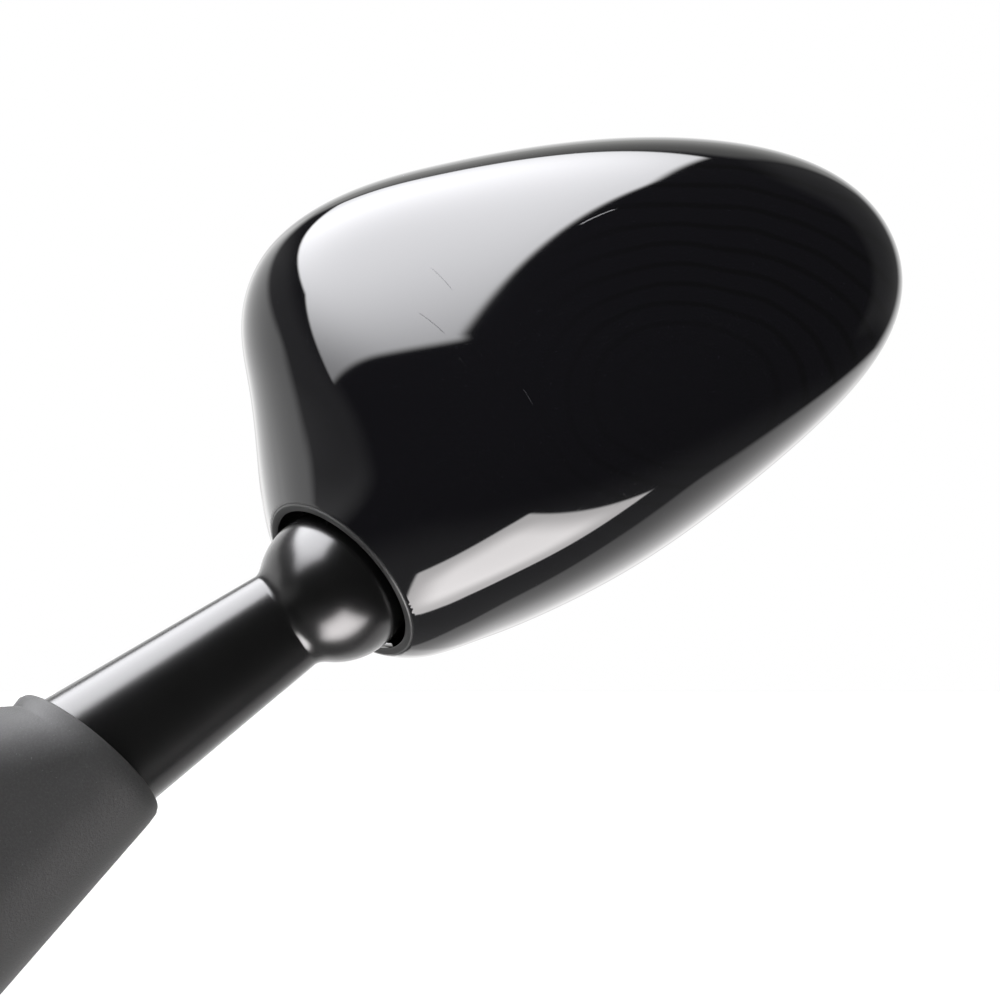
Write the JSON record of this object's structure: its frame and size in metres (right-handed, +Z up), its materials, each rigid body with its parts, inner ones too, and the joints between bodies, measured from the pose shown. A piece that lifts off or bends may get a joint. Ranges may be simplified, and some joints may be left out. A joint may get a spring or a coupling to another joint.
{
  "type": "motorcycle mirror",
  "caption": "Fairing mirror for a motorcycle: a glossy teardrop shell on a ball-ended cast arm that folds at a rubber-booted base plate.",
  "frame": {"origin": "middle of the rubber pad's flat face that lies on the fairing, midway between the two mounting studs", "axes": "+X outboard from the fairing, +Y towards the rider (the way the glass faces), +Z up"},
  "size_m": [0.2815, 0.0807, 0.243],
  "materials": {
    "shell_gloss": "glossy black moulded shell with fine hairline scratches",
    "mirror": "convex silvered glass",
    "foam": "black foam pad",
    "inner_plastic": "matte black moulded plastic",
    "liner_plastic": "plain slippery plastic",
    "plated_steel": "zinc plated",
    "spring_steel": "oiled spring wire",
    "coated_casting": "satin black coating over a cast alloy",
    "bronze": "plain bearing bronze",
    "boot_rubber": "matte dark grey rubber with a fine grain"
  },
  "bodies": {
    "base": {"base_bracket": "coated_casting", "mount_studs": "plated_steel", "base_pad": "boot_rubber", "thrust_washer": "bronze", "pivot_bolt": "plated_steel", "pivot_spring": "spring_steel", "spring_seat": "plated_steel", "pivot_nut": "plated_steel", "rubber_boot": "boot_rubber"},
    "arm": {"stem": "coated_casting", "pivot_bush": "bronze", "ball_stud": "plated_steel", "clamp_spring": "spring_steel", "clamp_washer": "plated_steel", "clamp_nut": "plated_steel"},
    "ball_cup": {"pressure_cup": "plated_steel"},
    "ball_seat": {"ball_liner": "liner_plastic"},
    "head": {"housing": "shell_gloss", "mirror_glass": "mirror", "foam_pad": "foam", "glass_holder": "inner_plastic", "holder_screws": "plated_steel", "socket_plate": "plated_steel", "socket_screws": "plated_steel"}
  },
  "joints": [
    {"name": "arm_fold", "type": "hinge", "parent": "base", "child": "arm", "pos_m": [0.022, 0, 0.0155], "axis": [0, 0, 1], "range_deg": [-30, 50], "deforming": ["rubber_boot"]},
    {"name": "head_roll", "type": "hinge", "parent": "arm", "child": "ball_cup", "pos_m": [0.10958, 0.02474, 0.07728], "axis": [0.7962, 0.225, 0.5617], "range_deg": [-15, 15]},
    {"name": "head_tilt", "type": "hinge", "parent": "ball_cup", "child": "ball_seat", "pos_m": [0.10958, 0.02474, 0.07728], "axis": [1, 0, 0], "range_deg": [-10, 10]},
    {"name": "head_pan", "type": "hinge", "parent": "ball_seat", "child": "head", "pos_m": [0.10958, 0.02474, 0.07728], "axis": [0, 0, 1], "range_deg": [-10, 10]}
  ]
}
